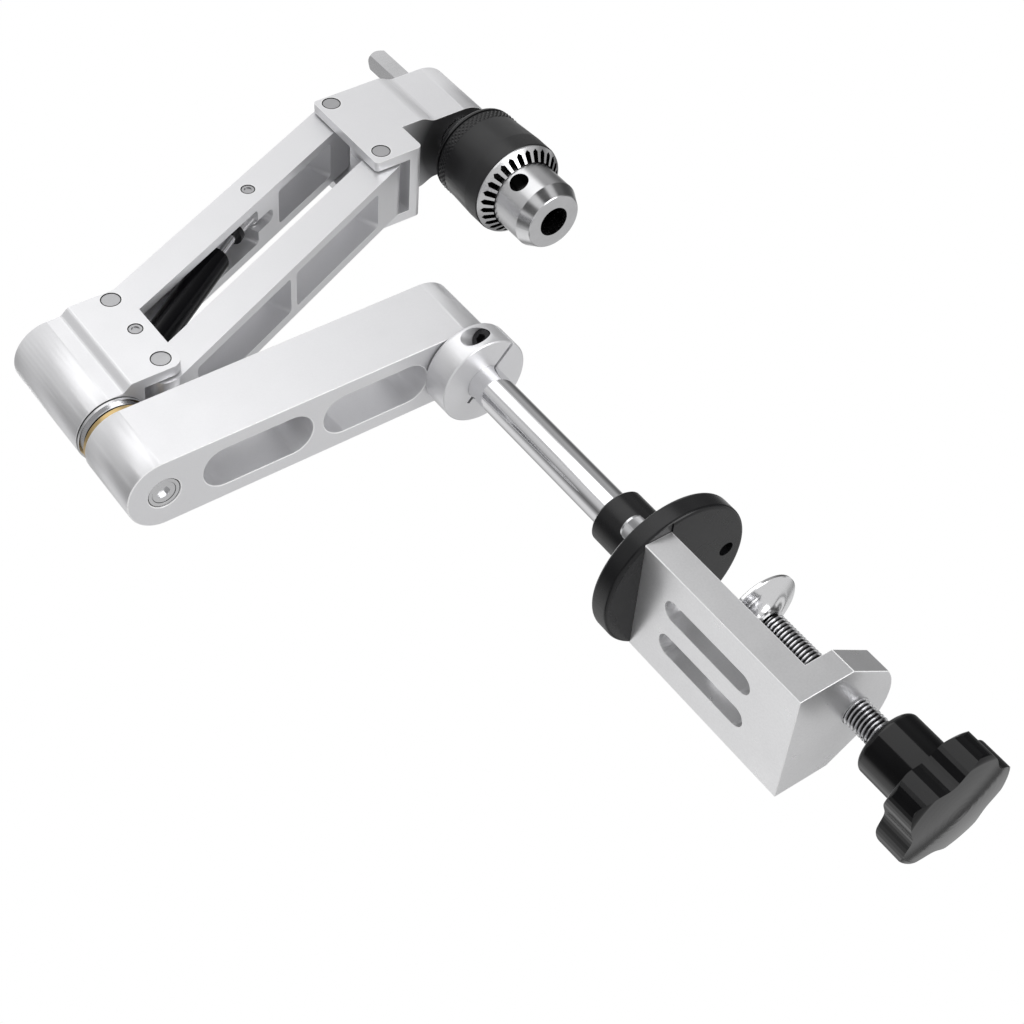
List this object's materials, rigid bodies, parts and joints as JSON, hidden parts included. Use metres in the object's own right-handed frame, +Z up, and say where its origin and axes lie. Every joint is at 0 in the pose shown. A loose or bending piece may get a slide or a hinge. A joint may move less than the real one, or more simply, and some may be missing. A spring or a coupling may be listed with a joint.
{
  "type": "arm tapping machine",
  "caption": "Bench-clamped swinging arm with a parallelogram forearm and gas strut, carrying an upright keyed chuck that keeps hand taps square to the work",
  "frame": {"origin": "centre of the flange's underside, which rests on the bench top, on the column's axis", "axes": "+Z up the column, +X from the column to the elbow, +Y to the side that shows the pins' ends"},
  "size_m": [0.2653, 0.067, 0.4764],
  "materials": {
    "aluminium": "satin machined aluminium with bright chamfered edges",
    "black_finish": "satin black oxide and enamel",
    "black_plastic": "glossy moulded black",
    "chrome": "polished and hard chromed",
    "steel": "turned and polished steel",
    "dark_steel": "blackened steel",
    "brass": "turned brass and bronze"
  },
  "bodies": {
    "base": {"clamp_bracket": "aluminium", "base_flange": "black_finish", "flange_screws": "steel", "column_set_screw": "dark_steel", "column": "chrome", "column_cap": "steel", "column_cap_screw": "dark_steel", "height_collar": "aluminium", "collar_screw": "dark_steel"},
    "swing_arm": {"lower_arm": "aluminium", "column_bush_lower": "brass", "column_bush_upper": "brass", "elbow_bush_lower": "brass", "elbow_bush_upper": "brass", "thrust_washer": "brass"},
    "elbow": {"elbow_bracket": "aluminium", "elbow_shaft": "steel", "elbow_retainer": "steel", "elbow_screw": "dark_steel", "thrust_race": "steel", "elbow_pin_upper": "steel", "elbow_pin_lower": "steel", "strut_pin_lower": "dark_steel"},
    "forearm_upper": {"upper_link": "aluminium", "strut_pin_upper": "dark_steel"},
    "forearm_lower": {"lower_link": "aluminium"},
    "head": {"head_block": "aluminium", "head_pin_upper": "steel", "head_pin_lower": "steel", "spindle_bearing_lower": "steel", "spindle_bearing_upper": "steel"},
    "chuck": {"spindle": "steel", "spindle_circlip": "dark_steel", "chuck_body": "steel"},
    "sleeve": {"chuck_sleeve": "black_finish", "chuck_gear_ring": "steel", "chuck_nut": "dark_steel"},
    "jaw_1": {"chuck_jaw_1": "dark_steel"},
    "jaw_2": {"chuck_jaw_2": "dark_steel"},
    "jaw_3": {"chuck_jaw_3": "dark_steel"},
    "strut_rod": {"strut_rod": "chrome", "strut_lock_nut": "black_finish", "strut_upper_eye": "steel"},
    "strut_cylinder": {"strut_cylinder": "black_finish", "strut_lower_eye": "dark_steel"},
    "pad": {"clamp_pad": "chrome"},
    "clamp_screw": {"clamp_screw": "chrome", "clamp_knob": "black_plastic"}
  },
  "joints": [
    {"name": "column_swivel", "type": "hinge", "parent": "base", "child": "swing_arm", "pos_m": [0, 0, 0.14], "axis": [0, 0, 1], "continuous": true},
    {"name": "elbow_swivel", "type": "hinge", "parent": "swing_arm", "child": "elbow", "pos_m": [0.1401, 0, 0.1815], "axis": [0, 0, 1], "continuous": true},
    {"name": "forearm_lift", "type": "hinge", "parent": "elbow", "child": "forearm_upper", "pos_m": [0.1135, 0, 0.2294], "axis": [0, 1, 0], "range_deg": [-25.5, 4.5]},
    {"name": "lower_link_pivot", "type": "hinge", "parent": "elbow", "child": "forearm_lower", "pos_m": [0.1135, 0, 0.1883], "axis": [0, 1, 0], "range_deg": [-26, 5]},
    {"name": "head_pivot", "type": "hinge", "parent": "forearm_upper", "child": "head", "pos_m": [-0.03426, 0, 0.29581], "axis": [0, 1, 0], "range_deg": [-5, 26]},
    {"name": "strut_pivot", "type": "hinge", "parent": "forearm_upper", "child": "strut_rod", "pos_m": [0.02632, 0, 0.26814], "axis": [0, 1, 0], "range_deg": [-1, 3]},
    {"name": "strut_slide", "type": "slide", "parent": "strut_rod", "child": "strut_cylinder", "axis": [0.8269, 0, -0.5624], "range_m": [-0.0086, 0.0019]},
    {"name": "spindle_turn", "type": "hinge", "parent": "head", "child": "chuck", "pos_m": [-0.08606, 0, 0.26451], "axis": [0, 0, 1], "continuous": true},
    {"name": "sleeve_turn", "type": "hinge", "parent": "chuck", "child": "sleeve", "pos_m": [-0.08606, 0, 0.22101], "axis": [0, 0, 1], "range_deg": [0, 3920]},
    {"name": "jaw_1_slide", "type": "slide", "parent": "chuck", "child": "jaw_1", "axis": [-0.2588, 0, -0.9659], "range_m": [-0.0001, 0.0241]},
    {"name": "jaw_2_slide", "type": "slide", "parent": "chuck", "child": "jaw_2", "axis": [0.1294, -0.2241, -0.9659], "range_m": [-0.0001, 0.0241]},
    {"name": "jaw_3_slide", "type": "slide", "parent": "chuck", "child": "jaw_3", "axis": [0.1294, 0.2241, -0.9659], "range_m": [-0.0001, 0.0241]},
    {"name": "pad_slide", "type": "slide", "parent": "base", "child": "pad", "axis": [0, 0, 1], "range_m": [-0.0355, 0.0151]},
    {"name": "clamp_screw_turn", "type": "hinge", "parent": "pad", "child": "clamp_screw", "pos_m": [-0.0144, 0, -0.038], "axis": [0, 0, 1], "range_deg": [-7300, 3100]}
  ],
  "couplings": [
    {"joint": "lower_link_pivot", "follows": "forearm_lift", "ratio": 1},
    {"joint": "head_pivot", "follows": "forearm_lift", "ratio": -1},
    {"joint": "strut_pivot", "follows": "forearm_lift", "ratio": -0.085},
    {"joint": "strut_slide", "follows": "forearm_lift", "m_per_rad": 0.01848},
    {"joint": "jaw_1_slide", "follows": "sleeve_turn", "m_per_rad": 0.00035014},
    {"joint": "jaw_2_slide", "follows": "sleeve_turn", "m_per_rad": 0.00035014},
    {"joint": "jaw_3_slide", "follows": "sleeve_turn", "m_per_rad": 0.00035014},
    {"joint": "pad_slide", "follows": "clamp_screw_turn", "m_per_rad": 0.00027852}
  ]
}
